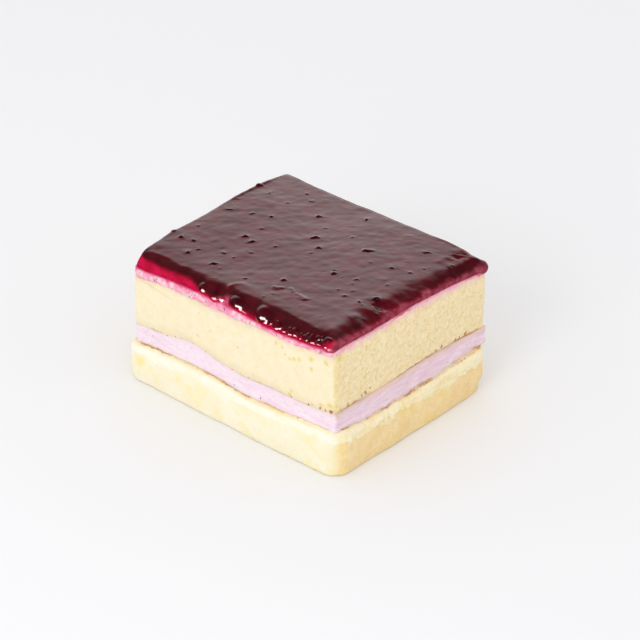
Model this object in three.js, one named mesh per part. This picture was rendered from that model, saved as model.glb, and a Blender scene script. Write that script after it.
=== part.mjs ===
// A cut slice of layer cake: two sponges with a berry cream between them, and a dark
// berry jelly on a thin film of cream. Millimetres, Z up. X runs along the broad cut
// face (front), Y from that face to the back. Plans are measured from the corner where
// the front face meets the narrow right face, and the whole slice is centred at the end.
import * as THREE from 'three';

// Gap between layers that touch
const SEAM = 0.3;

// Facets along each side, gathered towards the corners by this share
const SIDE_FACETS = [38, 30, 34, 28];
const CORNER_CROWDING = 0.6;

// Plans of the layers
const BASE_PLAN = { left: -91.7, right: 3.1, front: -3.6, back: 72.7, corner: 6.5 };
const CREAM_PLAN = { left: -88.5, right: 0.3, front: -0.9, back: 73.6, corner: 1.0 };
const SPONGE_PLAN = { left: -88.5, right: -0.4, front: -0.8, back: 73.3, corner: 1.6 };
const FILM_PLAN = { left: -88.2, right: -0.8, front: -0.9, back: 72.8, corner: 2.0 };
const JELLY_PLAN = { left: -88.0, right: -0.6, front: -1.0, back: 72.8, corner: 2.6 };

// Levels round the slice, evenly spaced along each side from its first corner, counted
// anticlockwise from the front left corner. A layer slopes straight to its centre level.
const FLOOR = { centre: 0, sides: [[0], [0], [0], [0]] };
const BASE_TOP = {
  centre: 15.4,
  sides: [
    [13.7, 14.1, 14.9, 14.6, 13.6, 14.2, 14.9],
    [15.4, 14.0, 14.3, 14.9],
    [16.0, 15.2, 14.8],
    [14.6, 14.3],
  ],
};
const CREAM_TOP = {
  centre: 22.2,
  sides: [
    [20.2, 21.0, 23.0, 21.2, 19.9, 20.4, 20.8],
    [21.8, 21.7, 22.2, 22.1],
    [21.4, 22.4, 21.7],
    [21.4, 20.6],
  ],
};
const SPONGE_TOP = {
  centre: 43.6,
  sides: [
    [38.9, 40.2, 40.7, 40.7, 41.3, 41.8],
    [43.3, 43.2, 43.7, 42.8],
    [41.3, 43.2, 43.4],
    [43.2, 43.0],
  ],
};
const FILM_TOP = {
  centre: 44.7,
  sides: [
    [41.8, 42.7, 43.4, 43.4, 42.6, 43.1],
    [44.7, 44.4, 44.8, 44.1],
    [42.5, 44.3, 44.6],
    [44.4, 44.2],
  ],
};

// Rounded edges and bulges of the two sponges
const EDGE_STEPS = 3;
const BASE_LOWER_ROUND = { inset: 1.2, height: 1.4 };
const BASE_UPPER_HEIGHT = 4.0;
const BASE_UPPER_INSET = [
  [2.4, 2.9],
  [2.9, 2.6],
  [1.4, 0.7],
  [0.8, 2.2],
];
const BASE_BULGE = 0.3;
const SPONGE_LOWER_ROUND = { inset: 0.5, height: 0.6 };
const SPONGE_UPPER_ROUND = { inset: 0.9, height: 1.0 };
const SPONGE_BULGE = 0.35;
const SIDE_ROWS = 3;
const CREAM_BULGE = -0.25;
const FILM_BULGE = 0.25;
const SOFT_STEPS = 3;

// Slow waves in the sides of a hand-cut slice, each layer with its own phase
const SIDE_WAVE = 0.25;
const SIDE_WAVES = [5, 9, 14];
const BASE_PHASE = 0.4;
const CREAM_PHASE = 1.2;
const SPONGE_PHASE = 2.1;
const FILM_PHASE = 2.7;
const JELLY_PHASE = 3.3;

// Jelly: height of its lip and of its rim above the cream film, round the slice, and the
// level of its middle
const JELLY_LIP = [
  [1.0, 0.8, 1.5, 1.4, 1.5, 1.4],
  [1.3, 1.1, 1.2, 1.5],
  [2.0, 1.3, 1.2],
  [1.2, 1.0],
];
const JELLY_TOP = [
  [5.6, 4.9, 4.5, 4.3, 4.8, 4.4],
  [3.9, 3.8, 3.6, 4.0],
  [5.0, 5.8, 4.6, 3.6, 3.5, 2.9, 2.8, 2.9],
  [3.9, 5.5, 5.6, 5.0, 5.5, 6.9],
];
const SHOULDER_WIDTH = [
  [4.2, 6.5, 5.5, 5.2, 5.6, 5.8],
  [8.0, 8.5, 8.5, 7.0],
  [3.2, 2.4, 2.4],
  [2.2, 2.6],
];
const JELLY_CENTRE = 49.2;
const SHOULDER_POWER = 2.2;
const LIP_UNDERCUT = 0.7;
const LIP_STEPS = 3;
const SLOPE_INSETS = [0.5, 1.0, 1.8, 2.8, 4.0, 5.6, 8.0];
const TOP_RINGS = 11;

// Slow swells of the jelly's top, and the thicker sheet that has run over the front edge
const SWELL = 0.22;
const SWELL_LENGTHS = [17, 23, 31];
const SHEET = { left: -48.6, right: 6, back: 16, rise: 0.55, border: 2.2 };

// Round lumps on the jelly's edge: beads, the notch beside them and the overhanging nose
const LUMPS = [
  { x: -56.3, y: 0.0, radius: 2.3, rise: 0.8, reach: 0.6 },
  { x: -51.6, y: -0.3, radius: 2.2, rise: 0.6, reach: 0.8 },
  { x: -48.2, y: -0.6, radius: 1.6, rise: -0.8, reach: -0.7 },
  { x: -41.6, y: 0.4, radius: 3.2, rise: 0.5, reach: 0.4 },
  { x: -30.6, y: 0.4, radius: 3.0, rise: 0.6, reach: 0.5 },
  { x: 0.0, y: 73.0, radius: 3.2, rise: 0.0, reach: 2.4 },
];

const CENTRE = new THREE.Vector2(
  (SPONGE_PLAN.left + SPONGE_PLAN.right) / 2,
  (SPONGE_PLAN.front + SPONGE_PLAN.back) / 2,
);

// Rays from the centre through points along the four sides. Each ray keeps its place
// round the slice: the side's number plus the share of that side.
function makeRays() {
  const { left, right, front, back } = SPONGE_PLAN;
  const corners = [[left, front], [right, front], [right, back], [left, back]];
  const rays = [];
  SIDE_FACETS.forEach((facets, side) => {
    const start = new THREE.Vector2(...corners[side]);
    const end = new THREE.Vector2(...corners[(side + 1) % corners.length]);
    for (let step = 0; step < facets; step += 1) {
      const even = step / facets;
      const turn = 2 * Math.PI * even;
      const share = even - (CORNER_CROWDING * Math.sin(turn)) / (2 * Math.PI);
      const direction = start.clone().lerp(end, share).sub(CENTRE).normalize();
      rays.push({ place: side + share, direction });
    }
  });
  return rays;
}

const RAYS = makeRays();

// Value at a place round the slice, on a smooth curve through the values of each side
function around(sides, place) {
  const values = sides.flat();
  const side = Math.floor(place);
  const first = sides.slice(0, side).reduce((count, list) => count + list.length, 0);
  const along = (place - side) * sides[side].length;
  const index = first + Math.floor(along);
  const share = along - Math.floor(along);
  const at = (offset) => values[(index + offset + values.length) % values.length];
  const [before, here, next, after] = [-1, 0, 1, 2].map(at);
  const slope = (next - before) / 2;
  const nextSlope = (after - here) / 2;
  const square = share * share;
  const cube = square * share;
  return (
    here * (2 * cube - 3 * square + 1)
    + slope * (cube - 2 * square + share)
    + next * (3 * square - 2 * cube)
    + nextSlope * (cube - square)
  );
}

// Signed distance from a point to the outline of a rounded rectangle, less inside
function outlineDistance(plan, inset, point) {
  const round = Math.max(plan.corner - inset, 0);
  const halfLength = (plan.right - plan.left) / 2 - inset - round;
  const halfWidth = (plan.back - plan.front) / 2 - inset - round;
  const x = Math.abs(point.x - (plan.left + plan.right) / 2) - halfLength;
  const y = Math.abs(point.y - (plan.front + plan.back) / 2) - halfWidth;
  return Math.hypot(Math.max(x, 0), Math.max(y, 0)) + Math.min(Math.max(x, y), 0) - round;
}

// Distance along a ray to the outline that lies the inset inside a plan
function reach(plan, inset, ray) {
  const point = new THREE.Vector2();
  let inner = 0;
  let outer = plan.right - plan.left;
  const halvings = 40;
  for (let step = 0; step < halvings; step += 1) {
    const middle = (inner + outer) / 2;
    point.copy(ray.direction).multiplyScalar(middle).add(CENTRE);
    if (outlineDistance(plan, inset, point) < 0) {
      inner = middle;
    } else {
      outer = middle;
    }
  }
  return inner;
}

function wave(place, phase) {
  return SIDE_WAVES.reduce(
    (sum, count, index) => sum + Math.sin((place * count * Math.PI) / 2 + phase * (index + 1)) / count,
    0,
  );
}

function levelOn(levels, ray, distance) {
  const edge = around(levels.sides, ray.place);
  const share = distance / reach(SPONGE_PLAN, 0, ray);
  return levels.centre + (edge - levels.centre) * share;
}

// Closed solid from rows of points: rowPoint(ray, row) places each row on each ray, from
// the bottom edge outwards and over the top, between the two points on the axis
function ringSolid(rowCount, rowPoint, bottomCentre, topCentre) {
  const profile = [new THREE.Vector2(0, 0)];
  for (let row = 0; row < rowCount; row += 1) {
    profile.push(new THREE.Vector2(1, row));
  }
  profile.push(new THREE.Vector2(0, rowCount));
  const geometry = new THREE.LatheGeometry(profile, RAYS.length);
  const positions = geometry.attributes.position;
  for (let column = 0; column <= RAYS.length; column += 1) {
    const ray = RAYS[column % RAYS.length];
    const start = column * profile.length;
    positions.setXYZ(start, CENTRE.x, CENTRE.y, bottomCentre);
    for (let row = 0; row < rowCount; row += 1) {
      const { distance, level } = rowPoint(ray, row);
      const x = CENTRE.x + ray.direction.x * distance;
      const y = CENTRE.y + ray.direction.y * distance;
      positions.setXYZ(start + row + 1, x, y, level);
    }
    positions.setXYZ(start + rowCount + 1, CENTRE.x, CENTRE.y, topCentre);
  }
  geometry.computeVertexNormals();
  return geometry;
}

// Rows of an upright side: a quarter round below, a bulging wall and a quarter round above.
// Each row gives its inset, its share of the layer's height and its lift above that share.
function sideRows(lowerRound, upperRound, bulge) {
  const rows = [];
  for (let step = 0; step <= EDGE_STEPS; step += 1) {
    const turn = (step / EDGE_STEPS) * (Math.PI / 2);
    const inset = lowerRound.inset * (1 - Math.sin(turn));
    rows.push({ inset, share: 0, lift: lowerRound.height * (1 - Math.cos(turn)) });
  }
  for (let step = 1; step <= SIDE_ROWS; step += 1) {
    const share = step / (SIDE_ROWS + 1);
    const lift = THREE.MathUtils.lerp(lowerRound.height, -upperRound.height, share);
    rows.push({ inset: -bulge * Math.sin(Math.PI * share), share, lift });
  }
  for (let step = 0; step <= EDGE_STEPS; step += 1) {
    const turn = (step / EDGE_STEPS) * (Math.PI / 2);
    const inset = upperRound.inset * (1 - Math.cos(turn));
    rows.push({ inset, share: 1, lift: -upperRound.height * (1 - Math.sin(turn)) });
  }
  return rows;
}

function layerSolid(plan, rowsAt, bottomLevels, topLevels, phase) {
  const rowPoint = (ray, row) => {
    const { inset, share, lift } = rowsAt(ray)[row];
    const distance = reach(plan, inset + SIDE_WAVE * wave(ray.place, phase), ray);
    const bottom = levelOn(bottomLevels, ray, distance) + (bottomLevels === FLOOR ? 0 : SEAM / 2);
    const top = levelOn(topLevels, ray, distance) - SEAM / 2;
    return { distance, level: THREE.MathUtils.lerp(bottom, top, share) + lift };
  };
  const bottomCentre = bottomLevels.centre + (bottomLevels === FLOOR ? 0 : SEAM / 2);
  const rowCount = rowsAt(RAYS[0]).length;
  return ringSolid(rowCount, rowPoint, bottomCentre, topLevels.centre - SEAM / 2);
}

function baseSponge() {
  const rowsAt = (ray) => {
    const upperRound = { inset: around(BASE_UPPER_INSET, ray.place), height: BASE_UPPER_HEIGHT };
    return sideRows(BASE_LOWER_ROUND, upperRound, BASE_BULGE);
  };
  return layerSolid(BASE_PLAN, rowsAt, FLOOR, BASE_TOP, BASE_PHASE);
}

function upperSponge() {
  const rows = sideRows(SPONGE_LOWER_ROUND, SPONGE_UPPER_ROUND, SPONGE_BULGE);
  return layerSolid(SPONGE_PLAN, () => rows, CREAM_TOP, SPONGE_TOP, SPONGE_PHASE);
}

// A soft layer whose wall swells or sinks between its two edges
function softLayer(plan, bulge, bottomLevels, topLevels, phase) {
  const rows = [];
  for (let step = 0; step <= SOFT_STEPS; step += 1) {
    const share = step / SOFT_STEPS;
    rows.push({ inset: -bulge * Math.sin(Math.PI * share), share, lift: 0 });
  }
  return layerSolid(plan, () => rows, bottomLevels, topLevels, phase);
}

function creamFilling() {
  return softLayer(CREAM_PLAN, CREAM_BULGE, BASE_TOP, CREAM_TOP, CREAM_PHASE);
}

function creamFilm() {
  return softLayer(FILM_PLAN, FILM_BULGE, SPONGE_TOP, FILM_TOP, FILM_PHASE);
}

// Sum of the lumps near a point, of their rise or of their reach
function lumpSum(x, y, quantity) {
  return LUMPS.reduce((sum, lump) => {
    const apart = Math.hypot(x - lump.x, y - lump.y) / lump.radius;
    return sum + lump[quantity] * Math.exp(-apart * apart);
  }, 0);
}

function swell(x, y) {
  return SWELL_LENGTHS.reduce((sum, length, index) => {
    const across = index % 2 === 0 ? x + y / 2 : y - x / 3;
    return sum + SWELL * Math.sin((2 * Math.PI * across) / length + index);
  }, 0) / SWELL_LENGTHS.length;
}

// The sheet's border is a rounded step, highest just inside its edge
function sheetRise(x, y) {
  const edge = Math.min(x - SHEET.left, SHEET.right - x, SHEET.back - y);
  return SHEET.rise * THREE.MathUtils.smoothstep(edge, -SHEET.border / 2, SHEET.border / 2);
}

function berryJelly() {
  const lipRows = LIP_STEPS + 1;
  const rowCount = lipRows + SLOPE_INSETS.length + TOP_RINGS;
  const rowPoint = (ray, row) => {
    const wavy = SIDE_WAVE * wave(ray.place, JELLY_PHASE);
    const lip = around(JELLY_LIP, ray.place);
    const top = around(JELLY_TOP, ray.place);
    const shoulder = around(SHOULDER_WIDTH, ray.place);
    const edge = reach(JELLY_PLAN, wavy, ray);
    const edgeX = CENTRE.x + ray.direction.x * edge;
    const edgeY = CENTRE.y + ray.direction.y * edge;
    const overhang = lumpSum(edgeX, edgeY, 'reach');
    if (row < lipRows) {
      const turn = (row / LIP_STEPS) * (Math.PI / 2);
      const distance = edge + overhang * Math.sin(turn) - LIP_UNDERCUT * (1 - Math.sin(turn));
      const height = lip * (1 - Math.cos(turn));
      return { distance, level: levelOn(FILM_TOP, ray, distance) + SEAM / 2 + height };
    }
    const inset = SLOPE_INSETS[Math.min(row - lipRows, SLOPE_INSETS.length - 1)];
    const ring = Math.max(row - lipRows - SLOPE_INSETS.length + 1, 0);
    const climb = ring > 0 ? 1 : Math.min(inset / shoulder, 1);
    const sloped = reach(JELLY_PLAN, wavy + inset, ray) + overhang * (1 - climb) ** 2;
    const distance = sloped * (1 - ring / (TOP_RINGS + 1));
    const x = CENTRE.x + ray.direction.x * distance;
    const y = CENTRE.y + ray.direction.y * distance;
    const rounded = 1 - (1 - climb) ** SHOULDER_POWER;
    const settled = Math.sin((Math.PI / 2) * (ring / (TOP_RINGS + 1)));
    const rim = levelOn(FILM_TOP, ray, sloped) + SEAM / 2 + THREE.MathUtils.lerp(lip, top, rounded);
    const relief = (swell(x, y) + sheetRise(x, y)) * rounded + lumpSum(x, y, 'rise');
    return { distance, level: THREE.MathUtils.lerp(rim, JELLY_CENTRE, settled) + relief };
  };
  const topCentre = JELLY_CENTRE + swell(CENTRE.x, CENTRE.y);
  return ringSolid(rowCount, rowPoint, FILM_TOP.centre + SEAM / 2, topCentre);
}

function addLayer(group, name, geometry, color, roughness) {
  const material = new THREE.MeshStandardMaterial({ color, roughness, metalness: 0 });
  const mesh = new THREE.Mesh(geometry, material);
  mesh.name = name;
  group.add(mesh);
}

const cake = new THREE.Group();
addLayer(cake, 'base_sponge', baseSponge(), '#f2dca4', 0.9);
addLayer(cake, 'cream_filling', creamFilling(), '#e7cde6', 0.55);
addLayer(cake, 'upper_sponge', upperSponge(), '#f4e2b4', 0.9);
addLayer(cake, 'cream_film', creamFilm(), '#ecc3d6', 0.5);
addLayer(cake, 'berry_jelly', berryJelly(), '#5a1020', 0.15);

// The origin is the middle of the slice's box, on the face it rests on
const middle = new THREE.Box3().setFromObject(cake).getCenter(new THREE.Vector3());
cake.position.set(-middle.x, -middle.y, 0);

export default cake;
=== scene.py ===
# A cut slice of layer cake: two sponges with a berry cream between them, and a dark glossy
# berry jelly on a thin film of cream. Lengths are millimetres until a mesh is made.
import itertools
import math

import bmesh
import bpy
import numpy as np
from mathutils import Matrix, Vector
from mathutils.kdtree import KDTree


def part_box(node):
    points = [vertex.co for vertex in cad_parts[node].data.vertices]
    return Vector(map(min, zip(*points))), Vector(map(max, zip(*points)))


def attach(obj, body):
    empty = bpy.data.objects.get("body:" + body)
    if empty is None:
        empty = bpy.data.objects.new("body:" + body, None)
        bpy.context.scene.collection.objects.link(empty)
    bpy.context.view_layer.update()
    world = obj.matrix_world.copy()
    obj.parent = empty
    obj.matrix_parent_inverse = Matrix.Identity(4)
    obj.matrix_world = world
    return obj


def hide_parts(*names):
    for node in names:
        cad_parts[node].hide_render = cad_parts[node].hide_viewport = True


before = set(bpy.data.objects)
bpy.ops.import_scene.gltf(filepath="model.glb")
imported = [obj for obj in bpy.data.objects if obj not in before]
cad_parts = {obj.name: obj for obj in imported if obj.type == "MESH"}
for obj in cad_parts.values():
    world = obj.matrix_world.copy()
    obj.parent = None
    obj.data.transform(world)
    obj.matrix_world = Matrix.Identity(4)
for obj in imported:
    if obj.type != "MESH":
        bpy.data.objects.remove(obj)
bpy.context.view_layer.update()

MM = 0.001

# Spacing of the points on the sides and on the jelly
SPONGE_STEP = 0.31
CREAM_STEP = 0.33
FILM_STEP = 0.28
JELLY_STEP = 0.32

# How far each layer is let into its neighbours, so that no gap shows
SEAM_OVERLAP = 0.25

# Corner from which places on the slice are measured
CORNER_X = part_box("upper_sponge")[1].x / MM
CORNER_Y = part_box("upper_sponge")[0].y / MM

FRONT = (0, -1)
RIGHT = (1, 0)

# Cosines of the turn between which a wall comes to face a side
FACING = (0.45, 0.85)

# Least length to divide by, and least distance of a point from a drop's centre
TINY = 1e-9
NEAREST = 0.01


# Numbers


def ramp(low, high, value):
    """Smooth rise from nought at the low value to one at the high value."""
    share = np.clip((value - low) / (high - low), 0, 1)
    return share * share * (3 - 2 * share)


def blend(low, high, share):
    return low + (high - low) * share


# Cells along each side of the noise before it repeats, and the turn that sets its grid askew
NOISE_CELLS = 32
NOISE_TURN = np.array([[0.36, 0.48, -0.8], [-0.8, 0.6, 0.0], [0.48, 0.64, 0.6]])


def noise(points, size, seed):
    """Smooth random field between -1 and 1, with features of that size."""
    table = np.random.default_rng(seed).uniform(-1, 1, (NOISE_CELLS,) * 3)
    place = (points / size) @ NOISE_TURN
    cell = np.floor(place).astype(int)
    share = place - cell
    share = share * share * (3 - 2 * share)
    total = np.zeros(points.shape[:-1])
    for corner in itertools.product((0, 1), repeat=3):
        weight = np.prod(np.where(corner, share, 1 - share), axis=-1)
        index = (cell + corner) % NOISE_CELLS
        total += weight * table[index[..., 0], index[..., 1], index[..., 2]]
    return total


def layered(points, *layers):
    """Sum of noises, each with its strength, the size of its features and its seed."""
    return sum(strength * noise(points, size, seed) for strength, size, seed in layers)


def catmull_rom(before, here, ahead, after, share):
    square = 2 * before - 5 * here + 4 * ahead - after
    cube = 3 * (here - ahead) + after - before
    return here + 0.5 * share * (ahead - before + share * (square + share * cube))


def curve(values, at, closed):
    """Catmull-Rom curve through the values, at fractional places along their first axis."""
    last = len(values) - 1
    first = np.floor(at).astype(int)
    if not closed:
        first = np.minimum(first, last - 1)
    share = (at - first).reshape(-1, *[1] * (values.ndim - 1))

    def value(offset):
        index = first + offset
        return values[index % len(values)] if closed else values[np.clip(index, 0, last)]

    return catmull_rom(*(value(offset) for offset in (-1, 0, 1, 2)), share)


def blurred(grid, spread):
    """The grid with each value averaged over its neighbours, by a bell curve."""
    reach = int(3 * spread)
    bell = np.exp(-0.5 * (np.arange(-reach, reach + 1) / spread) ** 2)
    bell /= bell.sum()
    for axis in (0, 1):
        padding = [(reach, reach) if axis == side else (0, 0) for side in (0, 1)]
        padded = np.pad(grid, padding, mode="edge")
        grid = np.apply_along_axis(np.convolve, axis, padded, bell, mode="valid")
    return grid


def unit(vectors):
    return vectors / np.linalg.norm(vectors, axis=-1, keepdims=True)


def near(points, centre, radius):
    """Round bump of height one about the centre, gone at the radius."""
    apart = np.linalg.norm(points - np.asarray(centre), axis=-1) / radius
    return np.clip(1 - apart * apart, 0, 1) ** 2


def path_distance(points, path):
    """Distance from flat points to a path, and whether each lies on its right hand."""
    best = np.full(len(points), np.inf)
    side = np.zeros(len(points))
    for start, end in itertools.pairwise(np.asarray(path, float)):
        along = end - start
        offset = points - start
        share = np.clip(offset @ along / (along @ along), 0, 1)
        apart = np.linalg.norm(offset - share[:, None] * along, axis=1)
        turn = along[1] * offset[:, 0] - along[0] * offset[:, 1]
        closer = apart < best
        best = np.where(closer, apart, best)
        side = np.where(closer, np.sign(turn), side)
    return best, side


def find_tree(points):
    tree = KDTree(len(points))
    for index, point in enumerate(points):
        tree.insert(point, index)
    tree.balance()
    return tree


def pits(points, centres, radii, depths):
    """Depth at each point of round pits about the centres."""
    tree = find_tree(points)
    depth = np.zeros(len(points))
    for centre, radius, deep in zip(centres, radii, depths):
        for _, index, apart in tree.find_range(centre, radius):
            share = 1 - (apart / radius) ** 2
            depth[index] = max(depth[index], deep * share)
    return depth


# The solids of the frame


# How far a ray's points may stray from its bearing, and the decimals to which points are one
RAY_TOLERANCE = 1e-4
WELD_DECIMALS = 4


def profile_rays(node):
    """A layer's solid as points [ray, row, xyz]: each ray's row of points runs from the lower
    point on the layer's axis out along its underside, up its side and in over its top."""
    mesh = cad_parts[node].data
    corners = np.empty(len(mesh.vertices) * 3)
    mesh.vertices.foreach_get("co", corners)
    corners = np.round(corners.reshape(-1, 3) / MM, WELD_DECIMALS)
    points, welded = np.unique(corners, axis=0, return_inverse=True)
    mesh.calc_loop_triangles()
    triangles = np.empty(len(mesh.loop_triangles) * 3, int)
    mesh.loop_triangles.foreach_get("vertices", triangles)
    triangles = welded.reshape(-1)[triangles].reshape(-1, 3)

    poles = np.argsort(np.bincount(triangles.ravel()))[-2:]
    low, high = sorted(poles, key=lambda pole: points[pole, 2])
    offset = points[:, :2] - points[low, :2]
    bearing = offset[:, 0] + 1j * offset[:, 1]
    bearing = bearing / np.maximum(np.abs(bearing), TINY)

    neighbours = [set() for _ in points]
    for triangle in triangles:
        for one, other in itertools.permutations(triangle, 2):
            neighbours[one].add(other)

    def next_on_ray(before, here):
        for other in neighbours[here] - {before, low}:
            if other == high or abs(bearing[other] - bearing[here]) < RAY_TOLERANCE:
                return other
        raise ValueError(f"{node} has a ray that does not reach its top")

    rays = []
    for first in sorted(neighbours[low], key=lambda point: np.angle(bearing[point])):
        ray = [low, first]
        while ray[-1] != high:
            ray.append(next_on_ray(ray[-2], ray[-1]))
        rays.append(ray)
    return points[np.array(rays)]


def even_places(lengths, step):
    """Fractional places that part a chain of such lengths into equal steps."""
    travelled = np.concatenate([[0], np.cumsum(lengths)])
    steps = max(round(travelled[-1] / step), 2)
    return np.interp(np.linspace(0, travelled[-1], steps + 1), travelled, np.arange(len(travelled)))


def ring_faces(columns, rows):
    """Faces of a closed wall of points [column, row], as point numbers."""
    lower = np.arange(columns)[:, None] * rows + np.arange(rows - 1)
    ahead = np.roll(lower, -1, axis=0)
    return np.stack([lower, ahead, ahead + 1, lower + 1], axis=-1).reshape(-1, 4).tolist()


def fan_faces(ring, centre):
    """Faces from a ring of point numbers to one centre, turned along the ring."""
    return [[centre, one, other] for one, other in zip(ring, np.roll(ring, -1))]


def add_object(name, data):
    item = bpy.data.objects.new(name, data)
    bpy.context.scene.collection.objects.link(item)
    return item


def make_piece(name, points, faces, material, masks):
    mesh = bpy.data.meshes.new(name)
    mesh.from_pydata((points * MM).tolist(), [], faces)
    mesh.polygons.foreach_set("use_smooth", np.ones(len(faces), bool))
    for mask, values in masks.items():
        layer = mesh.attributes.new(mask, "FLOAT", "POINT")
        layer.data.foreach_set("value", np.ascontiguousarray(values, np.float32).ravel())
    mesh.materials.append(material)
    piece = add_object(name, mesh)
    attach(piece, "root")
    return piece


# How far pores are bent out of round, and over what length
PORE_BEND = 0.22
PORE_BEND_SIZE = 0.7


class Wall:
    """Dense grid over the side of a layer: columns run round it, rows up it."""

    def __init__(self, node, step, open_low=False):
        rays = profile_rays(node)
        low_lift = 0 if open_low else -SEAM_OVERLAP
        self.node = node
        self.low_centre = rays[0, 0] + (0, 0, low_lift)
        self.high_centre = rays[0, -1] + (0, 0, SEAM_OVERLAP)
        rows = rays[:, 1:-1]
        row_lengths = np.linalg.norm(np.diff(rows, axis=1), axis=2).mean(axis=0)
        rows = curve(rows.swapaxes(0, 1), even_places(row_lengths, step), False).swapaxes(0, 1)
        outline = rows[:, rows.shape[1] // 2]
        column_lengths = np.linalg.norm(np.roll(outline, -1, axis=0) - outline, axis=1)
        self.points = curve(rows, even_places(column_lengths, step)[:-1], True)
        self.points[..., 2] += np.linspace(low_lift, SEAM_OVERLAP, self.points.shape[1])
        round_it = np.roll(self.points, -1, axis=0) - np.roll(self.points, 1, axis=0)
        self.normals = unit(np.cross(round_it, np.gradient(self.points, axis=1)))
        climbs = np.linalg.norm(np.diff(self.points, axis=1), axis=2)
        self.up = np.concatenate([np.zeros((len(climbs), 1)), np.cumsum(climbs, axis=1)], axis=1)
        self.down = self.up[:, -1:] - self.up

    def facing(self, direction):
        toward = self.normals[..., 0] * direction[0] + self.normals[..., 1] * direction[1]
        return ramp(*FACING, toward)

    def push(self, distance):
        self.points = self.points + self.normals * distance[..., None]

    def pores(self, seed, count, radius, depth, weight):
        """Depth of pores scattered over the wall, more where the weight is larger."""
        draw = np.random.default_rng(seed)
        flat = self.points.reshape(-1, 3)
        chosen = draw.choice(len(flat), count, p=weight.ravel() / weight.sum())
        sizes = draw.uniform(0, 1, count) ** 2
        radii = blend(radius[0], radius[1], sizes)
        depths = blend(depth[0], depth[1], sizes) * weight.ravel()[chosen]
        bends = [noise(flat, PORE_BEND_SIZE, seed + axis) for axis in (1, 2, 3)]
        bent = flat + PORE_BEND * np.stack(bends, axis=-1)
        return pits(bent, bent[chosen], radii, depths).reshape(weight.shape)

    def add_piece(self, name, material, masks):
        columns, rows = self.points.shape[:2]
        points = np.concatenate([self.points.reshape(-1, 3), [self.low_centre, self.high_centre]])
        low_ring = np.arange(columns) * rows
        faces = ring_faces(columns, rows)
        faces += fan_faces(low_ring[::-1], columns * rows)
        faces += fan_faces(low_ring + rows - 1, columns * rows + 1)
        padded = {mask: np.append(values.ravel(), [0, 0]) for mask, values in masks.items()}
        piece = make_piece(name, points, faces, material, padded)
        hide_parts(self.node)


def front_spots(*rows):
    """Places on the front face with their radii: distance from the right corner, level, radius."""
    return [(np.array([CORNER_X - away, CORNER_Y, level]), radius) for away, level, radius in rows]


def right_spots(*rows):
    """Places on the right face with their radii: distance from the front corner, level, radius."""
    return [(np.array([CORNER_X, CORNER_Y + away, level]), radius) for away, level, radius in rows]


# Materials


def srgb(red, green, blue):
    """Linear colour of a colour given as 0 to 255."""
    shares = np.array([red, green, blue]) / 255
    linear = np.where(shares <= 0.04045, shares / 12.92, ((shares + 0.055) / 1.055) ** 2.4)
    return (*linear, 1)


class Nodes:
    """A tree of shader nodes, put together a node at a time."""

    def __init__(self, tree):
        self.nodes = tree.nodes
        self.links = tree.links

    def feed(self, socket, value):
        """Links another node's output to the socket, or sets its number or colour."""
        if isinstance(value, bpy.types.NodeSocket):
            self.links.new(value, socket)
        else:
            socket.default_value = value

    def ramp(self, value, low, high, to_low=0.0, to_high=1.0):
        node = self.nodes.new("ShaderNodeMapRange")
        node.interpolation_type = "SMOOTHSTEP"
        sockets = ("Value", "From Min", "From Max", "To Min", "To Max")
        for socket, limit in zip(sockets, (value, low, high, to_low, to_high)):
            self.feed(node.inputs[socket], limit)
        return node.outputs["Result"]

    def math(self, operation, one, other):
        node = self.nodes.new("ShaderNodeMath")
        node.operation = operation
        self.feed(node.inputs[0], one)
        self.feed(node.inputs[1], other)
        return node.outputs["Value"]

    def times(self, one, other):
        return self.math("MULTIPLY", one, other)

    def along(self, vector, axis):
        """How far the vector reaches along the axis."""
        node = self.nodes.new("ShaderNodeVectorMath")
        node.operation = "DOT_PRODUCT"
        self.feed(node.inputs[0], vector)
        self.feed(node.inputs[1], axis)
        return node.outputs["Value"]


class Paint(Nodes):
    """One procedural material."""

    def __init__(self, name):
        self.material = bpy.data.materials.new(name)
        self.material.use_nodes = True
        super().__init__(self.material.node_tree)
        self.shader = self.nodes["Principled BSDF"]
        self.place = self.nodes.new("ShaderNodeTexCoord").outputs["Object"]

    def set(self, socket, value):
        self.feed(self.shader.inputs[socket], value)

    def mask(self, name):
        node = self.nodes.new("ShaderNodeAttribute")
        node.attribute_name = name
        return node.outputs["Fac"]

    def grain(self, size, detail=2.0, stretch=(1, 1, 1)):
        """Noise between 0 and 1 with features of that size."""
        mapping = self.nodes.new("ShaderNodeMapping")
        mapping.inputs["Scale"].default_value = [1 / share for share in stretch]
        self.links.new(self.place, mapping.inputs["Vector"])
        node = self.nodes.new("ShaderNodeTexNoise")
        node.inputs["Scale"].default_value = 1 / (size * MM)
        node.inputs["Detail"].default_value = detail
        self.links.new(mapping.outputs["Vector"], node.inputs["Vector"])
        return node.outputs["Fac"]

    def patches(self, size, low, high, most=1.0, detail=3.0, stretch=(1, 1, 1)):
        """Soft patches of that size: nought up to the low grain, and the most from the high grain on."""
        return self.ramp(self.grain(size, detail, stretch), low, high, 0.0, most)

    def mix(self, share, low, high):
        node = self.nodes.new("ShaderNodeMix")
        node.data_type = "RGBA"
        self.feed(node.inputs["Factor"], share)
        inputs = [socket for socket in node.inputs if socket.type == "RGBA"]
        for socket, colour in zip(inputs, (low, high)):
            self.feed(socket, colour)
        return next(socket for socket in node.outputs if socket.type == "RGBA")

    def tint(self, colour, mask, other, strength=1.0):
        """The colour, turned into the other one where the mask is set."""
        return self.mix(self.times(self.mask(mask), strength), colour, other)

    def bump(self, height, depth):
        node = self.nodes.new("ShaderNodeBump")
        node.inputs["Distance"].default_value = depth * MM
        self.links.new(height, node.inputs["Height"])
        self.set("Normal", node.outputs["Normal"])


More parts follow.
